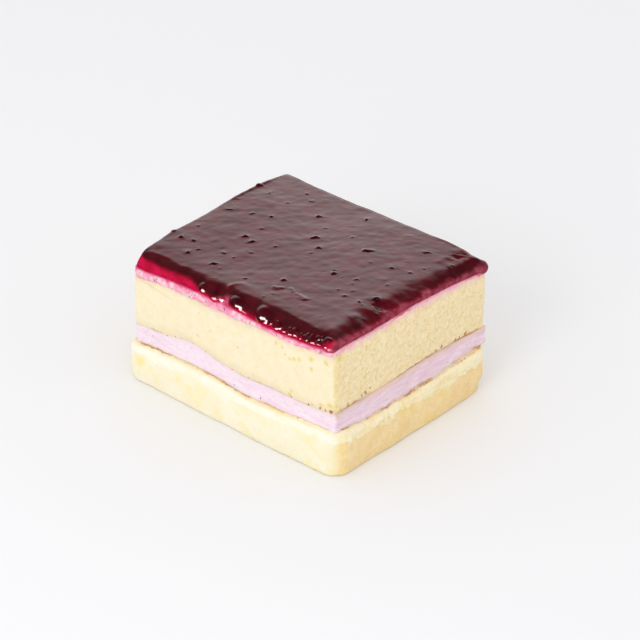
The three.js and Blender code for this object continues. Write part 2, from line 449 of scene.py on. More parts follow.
def soften(paint, weight, radius, colour_reach):
    """Light that soaks into the food: how much, how far, and each colour's share of that."""
    paint.set("Subsurface Weight", weight)
    paint.set("Subsurface Scale", radius * MM)
    paint.set("Subsurface Radius", colour_reach)


UPPER_COLOURS = {
    "crumb": srgb(249, 232, 195),
    "deep": srgb(247, 228, 188),
    "cut": srgb(239, 231, 204),
    "cut_deep": srgb(239, 227, 194),
    "yolk": srgb(228, 204, 98),
}
BASE_COLOURS = {
    "crumb": srgb(247, 221, 173),
    "deep": srgb(243, 212, 158),
    "cut": srgb(243, 240, 221),
    "cut_deep": srgb(242, 237, 210),
    "yolk": srgb(240, 222, 100),
}


def sponge_paint(name, crumb, deep, cut, cut_deep, yolk):
    """Open crumb, which gives way to a smooth cut where the knife ran."""
    paint = Paint(name)
    knife = paint.mask("knife")
    colour = paint.mix(paint.patches(5.0, 0.35, 0.7, detail=2.0), crumb, deep)
    colour = paint.mix(paint.patches(1.7, 0.4, 0.7, most=0.55, detail=2.0), colour, srgb(238, 212, 150))
    colour = paint.mix(paint.patches(0.7, 0.45, 0.75, most=0.35), colour, srgb(228, 200, 140))
    smooth_cut = paint.mix(paint.patches(4.5, 0.35, 0.65), cut, cut_deep)
    colour = paint.mix(knife, colour, smooth_cut)
    colour = paint.tint(colour, "pale", paint.mix(knife, srgb(247, 238, 204), srgb(245, 243, 232)))
    colour = paint.mix(paint.patches(0.5, 0.55, 0.75, most=0.25, detail=2.0), colour, srgb(252, 246, 222))
    # Painted shade: darker gold in the pores, and along the crease of the upper sponge
    colour = paint.tint(colour, "pore_shade", srgb(220, 184, 118), 0.38)
    colour = paint.tint(colour, "egg", yolk, 0.85)
    colour = paint.tint(colour, "blush", srgb(244, 190, 206), 0.75)
    toasted = paint.mix(paint.patches(0.8, 0.3, 0.7, detail=2.0), srgb(206, 148, 78), srgb(150, 88, 40))
    colour = paint.tint(colour, "crust", toasted)
    paint.set("Base Color", colour)
    paint.set("Roughness", 0.85)
    paint.set("Specular IOR Level", 0.02)
    soften(paint, weight=0.2, radius=1.2, colour_reach=(1.0, 0.75, 0.4))
    paint.bump(paint.grain(0.35, 3.0), depth=0.16)
    return paint.material


def cream_paint():
    """Lilac cream: streaked where it is open, evener where the knife ran."""
    paint = Paint("whipped_cream")
    streaks = paint.patches(0.9, 0.3, 0.7, stretch=(5, 5, 1))
    colour = paint.mix(streaks, srgb(231, 203, 216), srgb(239, 217, 227))
    light = paint.patches(0.6, 0.5, 0.8, most=0.4, stretch=(3, 3, 1))
    colour = paint.mix(light, colour, srgb(245, 230, 236))
    colour = paint.tint(colour, "knife", srgb(240, 226, 235), 0.65)
    dabs = paint.patches(1.1, 0.5, 0.72, most=0.6, stretch=(2, 2, 1))
    colour = paint.tint(colour, "knife", srgb(222, 198, 226), dabs)
    colour = paint.tint(colour, "smear", srgb(228, 182, 212), 0.3)
    colour = paint.tint(colour, "tan", srgb(230, 194, 168), 0.6)
    paint.set("Base Color", colour)
    paint.set("Roughness", 0.5)
    paint.set("Specular IOR Level", 0.04)
    soften(paint, weight=0.3, radius=1.5, colour_reach=(1.0, 0.8, 0.9))
    paint.bump(paint.grain(0.5, 3.0), depth=0.05)
    return paint.material


def film_paint():
    paint = Paint("stained_cream")
    colour = paint.mix(paint.patches(1.6, 0.35, 0.65), srgb(239, 160, 182), srgb(246, 208, 217))
    colour = paint.tint(colour, "stain", srgb(235, 122, 160))
    colour = paint.tint(colour, "pale", srgb(244, 190, 198))
    colour = paint.tint(colour, "berry", srgb(206, 36, 92))
    colour = paint.tint(colour, "speck", srgb(132, 84, 128), 0.7)
    paint.set("Base Color", colour)
    paint.set("Roughness", 0.42)
    paint.set("Specular IOR Level", 0.06)
    soften(paint, weight=0.3, radius=1.0, colour_reach=(1.0, 0.6, 0.7))
    paint.bump(paint.grain(0.4, 2.0), depth=0.05)
    return paint.material


# Roughness of the jelly: where it is glossy, hazed and cut
GLOSSY = 0.17
HAZED = 0.32
TORN_DULL = 0.45


def jelly_paint():
    """Dark jelly that turns ruby and crimson where it is thin, with dull pulp where it is cut, and painted
    shade over its fold and bits.
    """
    paint = Paint("berry_jelly_gloss")
    dark = paint.mix(paint.patches(6.0, 0.3, 0.7), srgb(70, 5, 14), srgb(86, 9, 21))
    # Painted shade where the top folds over towards the lip; over the bits of berry it is partly their own
    # darker colour and partly painted shade
    dark = paint.tint(dark, "deep", srgb(38, 4, 10), 0.85)
    thin = paint.mask("thin")
    colour = paint.mix(paint.ramp(thin, 0.1, 0.55), dark, srgb(112, 0, 22))
    uneven = paint.patches(2.4, 0.35, 0.65, stretch=(2, 2, 1))
    crimson = paint.mix(uneven, srgb(202, 10, 68), srgb(172, 2, 48))
    colour = paint.mix(paint.ramp(thin, 0.3, 1.0), colour, crimson)
    pulp = paint.mix(paint.patches(1.8, 0.35, 0.65), srgb(126, 40, 60), srgb(164, 66, 84))
    colour = paint.tint(colour, "cut", pulp)
    colour = paint.tint(colour, "rim", srgb(230, 84, 132), 0.7)
    paint.set("Base Color", colour)
    dull = paint.ramp(paint.mask("cut"), 0.0, 1.0, GLOSSY, TORN_DULL)
    hazed = paint.ramp(paint.mask("haze"), 0.0, 1.0, GLOSSY, HAZED)
    paint.set("Roughness", paint.math("MAXIMUM", dull, hazed))
    paint.set("IOR", 1.36)
    paint.bump(paint.grain(0.9, 2.0), depth=0.012)
    return paint.material


def crumb_paint(name, light, dark):
    paint = Paint(name)
    paint.set("Base Color", paint.mix(paint.patches(0.5, 0.3, 0.7), light, dark))
    paint.set("Roughness", 0.8)
    paint.bump(paint.grain(0.2, 2.0), depth=0.06)
    return paint.material


# Sponges


# Stains of yolk on the upper sponge, and lemon ones on the base: place and radius
EGG_SPOTS = front_spots(
    (3.0, 40.4, 1.7), (9.6, 38.9, 1.4), (9.6, 35.3, 1.2), (14.9, 36.6, 1.0), (17.1, 35.9, 1.1),
    (19.0, 35.2, 1.0), (21.0, 36.0, 0.8), (22.3, 38.0, 1.0), (24.7, 38.6, 1.1), (2.0, 24.9, 1.7),
    (5.9, 23.5, 1.0), (9.4, 22.3, 1.1), (18.6, 23.4, 1.0), (19.3, 21.7, 1.3),
) + right_spots(
    (3.0, 42.0, 1.9), (27.4, 43.0, 0.9),
)
EGG_BLOTCHES = front_spots(
    (66.3, 8.9, 2.2), (84.0, 8.5, 3.2),
) + right_spots(
    (30.4, 12.0, 2.0), (42.8, 11.0, 1.6),
)

# Shares of a stain's radius by which it is bent, and over which; its distances into the food count less
STAIN_BEND = 0.4
STAIN_BEND_SIZE = 0.8
STAIN_INWARD = 0.35

# Share of the open crumb that the knife has closed on the front
UPPER_CLOSED = 0.72
BASE_CLOSED = 0.6

# Depth of pit at which the painted shade in pores is full
PORE_FULL = 0.3

# Crease on the front of the upper sponge: distances from the right and levels
CREASE = [(87.2, 38.2), (80.7, 37.4), (76.1, 36.6), (72.0, 35.8)]
CREASE_WIDTH = 0.35
CREASE_DEPTH = 0.25

# Rim of the upper sponge on the right: depths where it starts and is full, rows that it squares, lift
RIM_DEPTHS = (1.8, 0.6)
RIM_ROWS = 6
RIM_LIFT = 0.7

# Base: depths where its pale zone ends, height up to which it is pressed smooth, and its wider foot
PALE_DEPTHS = (5.5, 4.7)
PRESSED_HEIGHT = 1.5
FOOT_HEIGHT = 1.6
FOOT_SPREAD = 0.8

# The base's rounded corner on the far right: distances from the front and the right face over which
# it comes in, its height, and how far it draws in
FAR_FROM_FRONT = (60, 72)
FAR_FROM_RIGHT = (8, 2)
FAR_HEIGHT = 7.5
FAR_DRAWN_IN = 1.8


def spots(points, places):
    """Strength at each point of the stains about the places."""
    total = np.zeros(points.shape[:-1])
    for centre, radius in places:
        bent = points + STAIN_BEND * radius * noise(points, STAIN_BEND_SIZE * radius, 77)[..., None]
        on_front = centre[1] == CORNER_Y
        weights = np.array([1, STAIN_INWARD, 1] if on_front else [STAIN_INWARD, 1, 1])
        total = np.maximum(total, near(bent * weights, centre * weights, radius))
    return total


def upper_sponge(material):
    wall = Wall("upper_sponge", SPONGE_STEP)
    points = wall.points
    knife = wall.facing(FRONT)
    open_crumb = 1 - UPPER_CLOSED * knife
    pores = wall.pores(seed=11, count=9000, radius=(0.2, 0.6), depth=(0.05, 0.28), weight=open_crumb)
    relief = layered(points, (0.22, 11, 12), (0.1, 4, 13))
    relief += open_crumb * layered(points, (0.12, 1.5, 14), (0.09, 0.7, 15))
    flat = np.stack([CORNER_X - points[..., 0], points[..., 2]], axis=-1)
    apart, _ = path_distance(flat.reshape(-1, 2), CREASE)
    crease = np.exp(-((apart.reshape(knife.shape) / CREASE_WIDTH) ** 2)) * knife
    wall.push(relief - pores - CREASE_DEPTH * crease)

    middle = wall.points.shape[1] // 2
    rim = wall.facing(RIGHT)[:, middle, None] * ramp(*RIM_DEPTHS, wall.down)
    below = wall.points[:, -RIM_ROWS, None, :2]
    wall.points[..., :2] = blend(wall.points[..., :2], below, rim[..., None])
    wall.points[..., 2] += rim * (RIM_LIFT + 0.3 * noise(points, 3.5, 8))

    # Darker yellow strip on the right face along the front corner, added to the egg mask
    corner = wall.facing(RIGHT) * ramp(5, 0.5, points[..., 1] - CORNER_Y)
    corner *= 0.3 + 0.2 * noise(points, 2.5, 10)
    browned = ramp(1.3, 0.5, wall.up + 0.5 * noise(points, 1.3, 17))
    patchy = ramp(-0.1, 0.45, noise(points, 6, 16))
    edge = np.minimum(wall.up, wall.down)
    tanned = 0.14 * ramp(4.5, 0.5, edge + 1.2 * noise(points, 3, 9))
    blushed = ramp(2.3, 0.5, wall.down + 0.9 * noise(points, 1.6, 18))
    masks = {
        "knife": 0.8 * knife,
        # Painted shade in the pores and along the crease
        "pore_shade": np.clip(pores / PORE_FULL + 0.5 * crease, 0, 1),
        "egg": np.maximum(spots(points, EGG_SPOTS), corner),
        "pale": np.zeros(knife.shape),
        "blush": (1 - 0.2 * rim) * blushed,
        "crust": np.maximum(browned * patchy * (1 - 0.5 * knife), tanned * knife),
    }
    wall.add_piece("upper_sponge_crumb", material, masks)
    return wall


def base_sponge(material):
    wall = Wall("base_sponge", SPONGE_STEP, open_low=True)
    points = wall.points
    knife = wall.facing(FRONT)
    strands = noise(points, (7, 7, 1), 19)
    ragged = wall.down + 1.2 * noise(points, 8, 21) + strands
    ragged += layered(points, (0.9, 1.6, 20), (0.6, 0.8, 6))
    pale = ramp(*PALE_DEPTHS, ragged) * (0.5 + 0.5 * ramp(-0.5, 0.2, strands))
    open_crumb = (1 - BASE_CLOSED * knife) * (0.6 + 0.4 * pale)
    pores = wall.pores(seed=23, count=4500, radius=(0.22, 0.6), depth=(0.06, 0.28), weight=open_crumb)
    relief = layered(points, (0.3, 9, 24), (0.14, 3, 25)) + 0.12 * pale * strands + 0.22 * pale
    rough = 1 - 0.35 * knife
    relief += rough * (0.08 + 0.12 * pale) * noise(points, 1.2, 26)
    relief += rough * (0.06 + 0.1 * pale) * noise(points, 0.65, 27)
    wall.push((relief - pores) * ramp(0, PRESSED_HEIGHT, wall.up))

    far_corner = ramp(*FAR_FROM_FRONT, points[..., 1] - CORNER_Y)
    far_corner *= ramp(*FAR_FROM_RIGHT, CORNER_X - points[..., 0])
    foot = FOOT_SPREAD * ramp(FOOT_HEIGHT, 0, wall.up)
    foot -= FAR_DRAWN_IN * far_corner * ramp(FAR_HEIGHT, 0, wall.up)
    wall.points[..., :2] += wall.normals[..., :2] * foot[..., None]

    line = ramp(0.85, 0.5, wall.down + 0.3 * noise(points, 2.2, 28))
    broken = 0.35 + 0.65 * ramp(-0.15, 0.45, noise(points, 4, 30))
    low = ramp(9, 4, wall.up) * knife
    blotches = ramp(0.1, 0.7, layered(points, (1, 4.5, 29), (0.5, 1.5, 5)))
    blotches *= 0.2 + 0.1 * low
    masks = {
        "knife": 0.85 * knife,
        # Painted shade in the pores, less in the pale zone
        "pore_shade": np.clip(pores / PORE_FULL, 0, 1) * (1 - 0.6 * pale),
        "egg": np.maximum(0.8 * spots(points, EGG_BLOTCHES), blotches * (1 - pale)),
        "pale": 0.85 * pale,
        "blush": np.zeros(knife.shape),
        "crust": (0.75 - 0.35 * knife) * line * broken,
    }
    wall.add_piece("base_sponge_crumb", material, masks)
    return wall


# Cream layers


# How far the film stands out
FILM_PROUD = 0.15


def cream_filling(material):
    wall = Wall("cream_filling", CREAM_STEP)
    points = wall.points
    knife = wall.facing(FRONT)
    streaks = layered(points, (0.16, (10, 10, 0.9), 33), (0.2, (2.6, 2.6, 0.75), 34))
    streaks += layered(points, (0.15, 0.9, 37), (0.07, 0.6, 38))
    wall.push(layered(points, (0.18, 8, 31), (0.06, 2, 32)) + (1 - 0.55 * knife) * streaks)
    edge = np.minimum(wall.up, wall.down)
    wall.points[..., 2] += ramp(2.5, 0.2, edge) * 0.22 * noise(points, 3, 35)
    crumbed = np.minimum(wall.down, wall.up + 1) + 0.9 * noise(points, (3, 3, 1.2), 39)
    masks = {
        "knife": knife,
        "tan": (1 - 0.8 * knife) * ramp(2.0, 0.4, crumbed),
        "smear": ramp(0.2, 0.75, noise(points, (9, 9, 1.2), 36)),
    }
    wall.add_piece("cream_layer", material, masks)
    return wall


def cream_film(material):
    wall = Wall("cream_film", FILM_STEP)
    points = wall.points
    right = wall.facing(RIGHT)
    wall.push(layered(points, (0.12, 4, 41), (0.12, 1.3, 42), (0.05, 0.6, 43)) + FILM_PROUD)
    ragged = 0.4 * right + layered(points, (0.45, 3, 44), (0.35, 1.3, 45))
    wall.points[..., 2] += ramp(1.2, 0, wall.up) * ragged
    blotch = layered(points, (1, 2.6, 46), (0.6, 1.1, 47)) + 0.5 * ramp(2, 0.3, wall.down)
    soaked = ramp(0.6, 0.1, wall.down + 0.4 * noise(points, 1.6, 48)) * (1 - 0.6 * right)
    run_down = right * ramp(0, 0.4, noise(points, 6, 40))
    masks = {
        "stain": 0.7 * ramp(0, 0.8, blotch),
        "pale": 0.75 * right,
        "berry": 0.75 * np.maximum(soaked, run_down),
        "speck": ramp(0.55, 0.8, noise(points, 1, 49)) * ramp(0.2, 0.8, wall.down),
    }
    wall.add_piece("film_layer", material, masks)
    return wall


# Jelly


# Bits of berry under the jelly's skin: distance from the right and the front face, radius, rise
BERRY_BITS = [
    (65.9, 29.7, 1.0, 0.45), (61.9, 28.9, 0.9, 0.4), (48.5, 44.8, 1.2, 0.5), (43.4, 40.3, 1.0, 0.35),
    (28.3, 31.7, 1.1, 0.45), (44.9, 65.9, 1.0, 0.4), (30.4, 49.9, 1.4, 0.5), (57.6, 56.6, 1.5, 0.4),
    (68.6, 45.3, 1.0, 0.4), (81.2, 15.8, 0.9, 0.45), (76.9, 17.1, 0.8, 0.4), (72.7, 10.6, 1.1, 0.4),
    (61.6, 10.4, 0.9, 0.4), (17.3, 46.9, 0.7, 0.3), (15.3, 62.5, 1.1, 0.3), (37.7, 18.0, 1.0, 0.4),
    (86.7, 16.3, 1.2, 0.5), (86.7, 58.1, 1.2, 0.4), (4.9, 27.3, 2.0, -0.7), (8.0, 29.0, 1.6, 0.45),
    (6.8, 67.0, 1.7, -0.45), (10.7, 23.5, 0.9, 0.35),
]

# Small bits scattered between them: their number, and limits of the same four measures
SMALL_BITS = 55
SMALL_BIT_LIMITS = [(2, 86), (4, 72), (0.45, 1.0), (0.04, 0.22)]

# How many times longer than wide a bit may be, how far it is bent, and over what length
BIT_LENGTHS = (1.0, 2.0)
BIT_BEND = 0.65
BIT_BEND_SIZE = 1.2

# Mound round a bit: how many times wider than the bit, and its share of the bit's rise
MOUND_WIDTH = 2.4
MOUND_SHARE = 0.25

# Nose at the far end of the right face, and how far the dull cut reaches up round it
NOSE = (1.3, 72.9)
NOSE_RADIUS = 9.0

# Drops and lumps on the lip: distance from the right and the front face, level, radius and
# how many times longer they are along the lip
DROPS = [
    (56.8, 1.3, 45.5, 1.75, 1.0), (51.5, 1.0, 44.8, 1.8, 1.1), (42.3, 1.7, 45.5, 2.2, 1.6),
    (42.9, 2.7, 47.1, 0.7, 1.0), (31.2, 2.3, 45.4, 3.0, 1.1), (29.1, 3.7, 46.9, 0.6, 1.0),
    (27.3, 1.4, 44.6, 1.1, 1.1), (18.4, 3.2, 47.3, 0.6, 1.0), (2.6, 1.4, 45.6, 1.6, 1.2),
    (*NOSE, 44.3, 2.15, 1.0),
]

# Softness of the crease round a drop of radius one or more
DROP_CREASE = 0.35

# Small drops along the right of the front lip
SMALL_DROPS = 42

# Notch beside the drops, where the cream film shows
NOTCH = (46.7, 0.5)
NOTCH_RADIUS = 2.4
NOTCH_DEPTH = 0.35

# Edge of the sheet of jelly that has run over the front: distances from the right and the front face
SHEET_EDGE = [
    (48.7, -0.5), (48.2, 1.1), (47.9, 3.1), (47.5, 5.4), (46.2, 7.4), (43.6, 9.4), (40.5, 11.4),
    (37.5, 13.2), (33.7, 14.2), (27.6, 14.6), (21.7, 13.3), (17.5, 12.9),
]

# Welt along the sheet's edge, and the thicker jelly inside it, which thins out again
WELT_RISE = 0.38
WELT_WIDTH = 0.85
SHEET_RISE = 0.25
SHEET_THINNING = 5

# Ripples along and across the spreading: height, size and seed
RIPPLES = [
    (0.075, (5.5, 3.4, 5), 52),
    (0.06, (2.4, 1.8, 5), 53),
    (0.018, (1.3, 1.0, 5), 50),
]

# The jelly was spread along this direction, which stretches its ripples and bits
SPREAD_ANGLE = math.radians(42)

# How far the facets of the jelly's top are evened out
TOP_BLUR = 11.0

# Distances from the right, the front and the far edges over which levels come to count for the
# evened top, and over which that top takes their place
COUNTED = [(5, 9), (3, 6), (1.5, 4)]
EVENED = [(4, 9), (1.2, 4.4), (0.8, 3.2)]
LEAST_COUNT = 1e-6

# Width of the strip along the front where the points lie twice as close
FRONT_STRIP = 7.0

# How far the jelly's lower edge stands out
LIP_PROUD = 0.45

# Thin crimson strip at the left of the front: distances from the right and the front over which it
# comes in, first along the front and then round the left end
STRIP_FROM_RIGHT = (57, 63)
STRIP_FROM_FRONT = (14, 5)
END_FROM_RIGHT = (78, 86)
END_FROM_FRONT = (30, 8)

# Thicknesses at which the jelly looks crimson: elsewhere, and on that strip
CRIMSON_THICKNESS = (0.2, 1.6)

# Brighter places at the left end and at the front corner: place and radius
LEFT_END = ((88.0, 1.0), 10.0)
BRIGHT_CORNER = ((1.6, 1.0), 5.0)


def spread_frame(points):
    """Flat places along and across the direction of spreading."""
    along = points[:, 0] * math.cos(SPREAD_ANGLE) + points[:, 1] * math.sin(SPREAD_ANGLE)
    across = points[:, 1] * math.cos(SPREAD_ANGLE) - points[:, 0] * math.sin(SPREAD_ANGLE)
    return np.stack([along, across, np.zeros(len(points))], axis=-1)


def flat_places(points):
    """Distances of points from the right and the front face."""
    return np.stack([CORNER_X - points[:, 0], points[:, 1] - CORNER_Y], axis=-1)


class Jelly:
    """Dense skin of the jelly: an even grid over its top, and rows round its lip."""

    LIP_ROWS = 9
    TABLE_STEPS = 400

    def __init__(self):
        rays = profile_rays("berry_jelly")
        self.axis = rays[0, 0, :2]
        self.low_centre = rays[0, 0]
        self.rays = rays[:, 1:]
        self.reach = np.linalg.norm(self.rays[..., :2] - self.axis, axis=-1)
        self.brim_row = int(self.reach.mean(axis=0).argmax())
        edge = self.rays[:, 0, :2] - self.axis
        self.angles = np.arctan2(edge[:, 1], edge[:, 0])
        self.table = self.level_table()
        self.build()

    def level_table(self):
        """Level of the top on each ray, at even shares of the way to the brim."""
        top = np.stack([self.reach, self.rays[..., 2]], axis=-1)[:, self.brim_row:]
        fine = np.linspace(0, top.shape[1] - 1, self.TABLE_STEPS)
        top = curve(top.swapaxes(0, 1), fine, False).swapaxes(0, 1)[:, ::-1]
        shares = np.linspace(0, 1, self.TABLE_STEPS)
        return np.array([np.interp(shares, ray[:, 0] / ray[-1, 0], ray[:, 1]) for ray in top])

    def ray_place(self, angle):
        turn = 2 * math.pi
        known = np.concatenate([self.angles[-1:] - turn, self.angles, self.angles[:1] + turn])
        return np.interp(angle, known, np.arange(-1, len(known) - 1)) % len(self.angles)

    def top_level(self, place, share):
        """Level at fractional rays and shares of the way to the brim."""
        column = share * (self.TABLE_STEPS - 1)
        left = np.minimum(column.astype(int), self.TABLE_STEPS - 2)
        first = np.floor(place).astype(int)
        stencil = [(first + step) % len(self.table) for step in (-1, 0, 1, 2)]
        levels = [blend(self.table[ray, left], self.table[ray, left + 1], column - left) for ray in stencil]
        return catmull_rom(*levels, place - first)

    def evened(self, level, across, along, half):
        """Levels of the top with its facets evened out, away from its edges."""
        flat = np.stack([across * half[0], along * half[1], 0 * across], axis=-1)
        right = (1 - across) * half[0] + 1.6 * noise(flat, 5, 65)
        front = (1 + along) * half[1] + 0.8 * noise(flat, 4, 66) + 0.8 * ramp(-0.3, -0.7, across)
        far = np.minimum((1 + across) * half[0], (1 - along) * half[1])

        def inside(limits):
            shares = [ramp(*limit, away) for limit, away in zip(limits, (right, front, far))]
            return np.min(shares, axis=0)

        counted = inside(COUNTED) + LEAST_COUNT
        spread = TOP_BLUR / JELLY_STEP
        even = blurred(level * counted, spread) / blurred(counted, spread)
        return blend(level, even, inside(EVENED))

    def build(self):
        brim = self.rays[:, self.brim_row]
        half = (brim[:, :2].max(axis=0) - brim[:, :2].min(axis=0)) / 2
        columns = np.linspace(-1, 1, round(2 * half[0] / JELLY_STEP) + 1)
        strip = FRONT_STRIP / half[1] - 1
        close = np.linspace(-1, strip, round(2 * FRONT_STRIP / JELLY_STEP), endpoint=False)
        rest = np.linspace(strip, 1, round((1 - strip) * half[1] / JELLY_STEP) + 1)
        across, along = np.meshgrid(columns, np.concatenate([close, rest]), indexing="ij")
        angle = np.arctan2(along * half[1], across * half[0]).ravel()
        share = np.maximum(np.abs(across), np.abs(along)).ravel()
        place = self.ray_place(angle)
        distance = curve(self.reach[:, self.brim_row], place, True) * share
        level = self.top_level(place, share).reshape(across.shape)
        level = self.evened(level, across, along, half).ravel()
        x = self.axis[0] + distance * np.cos(angle)
        y = self.axis[1] + distance * np.sin(angle)
        top = np.stack([x, y, level], axis=-1)

        number = np.arange(len(top)).reshape(across.shape)
        ring = np.concatenate([number[:-1, 0], number[-1, :-1], number[:0:-1, -1], number[0, :0:-1]])
        lip_rows = self.rays[:, : self.brim_row + 1].swapaxes(0, 1)
        down = np.linspace(self.brim_row, 0, self.LIP_ROWS + 1)[1:]
        lip = curve(curve(lip_rows, down, False).swapaxes(0, 1), place[ring], True)

        quads = [number[:-1, :-1], number[1:, :-1], number[1:, 1:], number[:-1, 1:]]
        self.faces = np.stack(quads, axis=-1).reshape(-1, 4).tolist()
        upper = ring
        for row in range(self.LIP_ROWS):
            lower = len(top) + np.arange(len(ring)) * self.LIP_ROWS + row
            band = np.stack([lower, np.roll(lower, -1), np.roll(upper, -1), upper], axis=-1)
            self.faces += band.tolist()
            upper = lower
        self.points = np.concatenate([top, lip.reshape(-1, 3), [self.low_centre]])
        self.faces += fan_faces(upper[::-1], len(self.points) - 1)
        lip_drop = np.tile(np.arange(1, self.LIP_ROWS + 1) / self.LIP_ROWS, len(ring))
        self.lip_drop = np.concatenate([np.zeros(len(top)), lip_drop, [0]])

    def thickness(self):
        """Height of each point over the film."""
        offset = self.points[:, :2] - self.axis
        place = self.ray_place(np.arctan2(offset[:, 1], offset[:, 0]))
        edge_level = curve(self.rays[:, 0, 2], place, True)
        edge_reach = curve(self.reach[:, 0], place, True)
        share = np.linalg.norm(offset, axis=1) / edge_reach
        return self.points[:, 2] - blend(self.low_centre[2], edge_level, share)

    def normals(self):
        mesh = bpy.data.meshes.new("jelly_normals")
        mesh.from_pydata(self.points.tolist(), [], self.faces)
        normals = np.empty(len(self.points) * 3)
        mesh.vertex_normals.foreach_get("vector", normals)
        bpy.data.meshes.remove(mesh)
        return normals.reshape(-1, 3)

    def swell(self, centre, radius, length):
        """Rounds a drop out of the skin, with a soft crease where it starts."""
        stretch = np.array([length, 1, 1])
        crease = DROP_CREASE * min(radius, 1)
        offset = (self.points - centre) / stretch
        apart = np.maximum(np.linalg.norm(offset, axis=1), NEAREST)
        grown = 0.5 * (apart + radius + np.sqrt((apart - radius) ** 2 + crease**2))
        grown = np.where(apart < radius + 3 * crease, grown, apart)
        self.points = centre + offset * stretch * (grown / apart)[:, None]


def bits_relief(points, upward):
    """Bits of berry that stand up on the top, and some hollows."""
    relief = np.zeros(len(points))
    draw = np.random.default_rng(54)
    small = np.column_stack([draw.uniform(*limits, SMALL_BITS) for limits in SMALL_BIT_LIMITS])
    bend = [noise(points, BIT_BEND_SIZE, 55), noise(points, BIT_BEND_SIZE, 56), np.zeros(len(points))]
    bent = spread_frame(points) + BIT_BEND * np.stack(bend, axis=-1)
    on_top = ramp(0.4, 0.8, upward)
    for right, front, radius, rise in itertools.chain(BERRY_BITS, small):
        centre = spread_frame(np.array([[CORNER_X - right, CORNER_Y + front, 0]]))[0]
        stretch = np.array([1 / draw.uniform(*BIT_LENGTHS), 1, 1])
        bump = near(bent * stretch, centre * stretch, radius)
        mound = near(bent * stretch, centre * stretch, MOUND_WIDTH * radius)
        relief += rise * on_top * (bump + MOUND_SHARE * mound)
    return relief


def jelly_relief(points):
    """Ripples, the sheet's edge and the notch in the front lip."""
    relief = 0.1 * noise(points, 12, 51) + layered(spread_frame(points), *RIPPLES)
    flat = flat_places(points)
    from_right, from_front = flat.T
    apart, side = path_distance(flat, SHEET_EDGE)
    faint = ramp(6, 9, from_front)
    inward = -side * apart + faint * layered(points, (1.2, 3, 57), (0.6, 1.3, 67))
    broken = 0.35 + 0.65 * ramp(0.25, -0.25, noise(points, 2.8, 58))
    strength = ramp(16, 24, from_right) * (1 - faint * broken)
    sheet = WELT_RISE * np.exp(-((inward / WELT_WIDTH) ** 2))
    thinning = np.exp(-np.maximum(inward, 0) / SHEET_THINNING)
    sheet += SHEET_RISE * ramp(-0.5, 1.5, inward) * thinning
    relief += strength * sheet * ramp(1.5, 4.0, from_front)
    return relief - NOTCH_DEPTH * near(flat, NOTCH, NOTCH_RADIUS)


def within(values, limits):
    return (values > limits[0]) & (values < limits[1])


def add_small_drops(jelly):
    """Scatters the small drops over the right of the front lip."""
    draw = np.random.default_rng(64)
    points = jelly.points
    from_right, from_front = flat_places(points).T
    lip = within(jelly.thickness(), (1.2, 2.8)) & within(from_right, (2.5, 26))
    lip &= from_front < 3.5
    normals = jelly.normals()
    for index in draw.choice(np.flatnonzero(lip), SMALL_DROPS, replace=False):
        radius = draw.uniform(0.45, 0.95)
        centre = points[index] - 0.3 * radius * normals[index]
        jelly.swell(centre, radius, draw.uniform(0.9, 1.5))


def edge_drip(points):
    """How far the jelly's lower edge hangs down: less on the right, on the left and at the notch."""
    from_right = CORNER_X - points[:, 0]
    drip = 0.2 + 0.4 * noise(points, 4, 60) + 0.45 * noise(points, 1.5, 61)
    drip -= 0.2 * ramp(41, 32, from_right) + 0.5 * ramp(54, 62, from_right)
    return drip - 0.8 * np.exp(-(((from_right - 44.5) / 3.5) ** 2))


def jelly_masks(points, normals, thickness, bits):
    """Where the jelly is thin, painted with shade at its fold and bits, hazed, cut, and pale at its rim."""
    flat = flat_places(points)
    from_right, from_front = flat.T
    uneven = thickness + layered(points, (0.28, 3, 59), (0.16, 1, 62))
    strip = ramp(*STRIP_FROM_RIGHT, from_right) * ramp(*STRIP_FROM_FRONT, from_front)
    left = ramp(*END_FROM_RIGHT, from_right) * ramp(*END_FROM_FRONT, from_front)
    crimson = blend(*CRIMSON_THICKNESS, np.maximum(strip, left))
    crimson += 1.3 * near(flat, *LEFT_END)
    bright = near(flat, *BRIGHT_CORNER) * ramp(3.6, 2.0, thickness)
    right = ramp(0.15, 0.5, normals[:, 0])
    torn = near(flat, NOTCH, 1.1 * NOTCH_RADIUS) * ramp(3.5, 2.0, thickness)
    nose = near(flat, NOSE, NOSE_RADIUS)
    ragged = thickness + 2.5 * (uneven - thickness)
    cut = right * ramp(2.6 + 1.5 * nose, 0.8 + nose, ragged)
    # Painted shade where the surface tilts forward at the fold above the lip
    fold_shade = ramp(0.98, 0.9, normals[:, 2]) * ramp(1.0, 3.2, thickness)
    fold_shade *= 0.38 + 0.42 * noise(points, 2.5, 68)
    rim = (1 - 0.35 * right) * ramp(0.3 + 0.2 * right, -0.25, uneven)
    return {
        "thin": np.maximum(1 - ramp(crimson - 0.2, crimson + 2.9, uneven), bright),
        # Painted shade at the fold, and over the bits partly their own darker colour and partly painted
        # shade
        "deep": np.clip(np.maximum(fold_shade, ramp(0.04, 0.18, bits)), 0, 1),
        "haze": ramp(1.5, 3.5, from_front) * ramp(11, 6, from_front),
        "cut": np.maximum(cut, torn),
        "rim": np.maximum(rim, near(flat, NOTCH, 0.8 * NOTCH_RADIUS)),
    }


